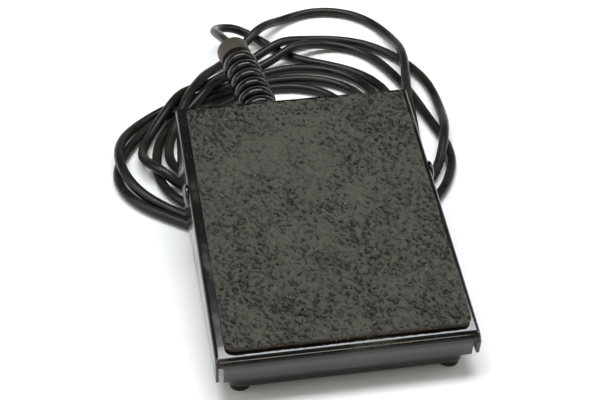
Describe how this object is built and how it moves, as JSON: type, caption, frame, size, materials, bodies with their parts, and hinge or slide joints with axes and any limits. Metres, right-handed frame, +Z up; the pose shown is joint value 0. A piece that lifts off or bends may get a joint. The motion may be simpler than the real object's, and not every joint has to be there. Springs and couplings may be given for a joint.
{
  "type": "sewing machine foot pedal",
  "caption": "Black pressed-steel sewing machine foot control: tilted tread plate with pebbled rubber mat on a steel base, ribbed strain relief and coiled black cord.",
  "frame": {"origin": "middle of the pedal's footprint on the floor, without the cord and strain relief", "axes": "+Z up, +Y from the low front end towards the cord, +X to the right seen from the front"},
  "size_m": [0.1663, 0.2866, 0.0479],
  "materials": {
    "black_paint": "gloss black enamel",
    "zinc_steel": "zinc-plated steel",
    "brass": "plain brass",
    "mat_rubber": "pebbled dark olive-grey rubber",
    "adhesive": "dried brown adhesive",
    "rubber": "moulded black rubber",
    "collar_rubber": "matt brown-black rubber",
    "cord_vinyl": "satin black cord jacket",
    "ceramic": "unglazed off-white ceramic",
    "phenolic": "brown phenolic moulding",
    "nylon": "off-white nylon",
    "carbon": "pressed carbon",
    "press_board": "brown press board",
    "wax_paper": "waxed paper",
    "wire_left": "red wire insulation",
    "wire_right": "blue wire insulation"
  },
  "bodies": {
    "base": {"base_pan": "black_paint", "insulating_liner": "press_board", "foot_front_left": "rubber", "foot_front_right": "rubber", "foot_rear_left": "rubber", "foot_rear_right": "rubber", "stop_pad_left": "rubber", "stop_pad_right": "rubber", "pivot_spacer_left": "nylon", "pivot_spacer_right": "nylon", "pin_clip_left": "zinc_steel", "pin_clip_right": "zinc_steel", "spring_seat_left": "zinc_steel", "spring_seat_right": "zinc_steel", "return_spring_left": "zinc_steel", "return_spring_right": "zinc_steel", "regulator_block": "ceramic", "carbon_pillar_left": "carbon", "carbon_pillar_right": "carbon", "regulator_bracket": "zinc_steel", "bracket_screw_left": "zinc_steel", "bracket_screw_right": "zinc_steel", "terminal_strip": "phenolic", "terminal_screw_left": "brass", "terminal_screw_middle": "brass", "terminal_screw_right": "brass", "series_resistor": "ceramic", "suppressor_capacitor": "wax_paper", "lead_wire_left": "wire_left", "lead_wire_right": "wire_right", "clamp_post": "phenolic", "clamp_bar": "zinc_steel", "clamp_screw_left": "zinc_steel", "clamp_screw_right": "zinc_steel", "entry_bush": "phenolic", "gland_nut": "phenolic", "strain_relief": "rubber", "cord_collar": "collar_rubber", "cord_tail": "cord_vinyl", "plug_body": "rubber", "plug_contact_front": "brass", "plug_contact_rear": "brass", "cord_turn_1": "cord_vinyl", "cord_turn_2": "cord_vinyl", "cord_turn_3": "cord_vinyl", "cord_turn_4": "cord_vinyl", "cord_turn_5": "cord_vinyl", "cord_turn_6": "cord_vinyl"},
    "treadle": {"foot_plate": "black_paint", "mat_adhesive": "adhesive", "tread_mat": "mat_rubber", "pivot_pin": "black_paint", "pressure_pad": "zinc_steel"},
    "plunger_body": {"plunger": "nylon"},
    "left_cap": {"spring_cap_left": "nylon"},
    "right_cap": {"spring_cap_right": "nylon"}
  },
  "joints": [
    {"name": "treadle_rock", "type": "hinge", "parent": "base", "child": "treadle", "pos_m": [0, 0.02386, 0.03182], "axis": [-1, 0, 0], "range_deg": [0, 5], "stiffness_Nm_per_rad": 3, "springref_deg": -6.88},
    {"name": "plunger_slide", "type": "slide", "parent": "base", "child": "plunger_body", "axis": [0, 0, -1], "range_m": [0, 0.0018]},
    {"name": "left_cap_slide", "type": "slide", "parent": "base", "child": "left_cap", "axis": [0, 0, -1], "range_m": [0, 0.0024], "deforming": ["return_spring_left"]},
    {"name": "right_cap_slide", "type": "slide", "parent": "base", "child": "right_cap", "axis": [0, 0, -1], "range_m": [0, 0.0024], "deforming": ["return_spring_right"]}
  ],
  "couplings": [
    {"joint": "plunger_slide", "follows": "treadle_rock", "m_per_rad": 0.0195},
    {"joint": "left_cap_slide", "follows": "treadle_rock", "m_per_rad": 0.0262},
    {"joint": "right_cap_slide", "follows": "treadle_rock", "m_per_rad": 0.0262}
  ]
}
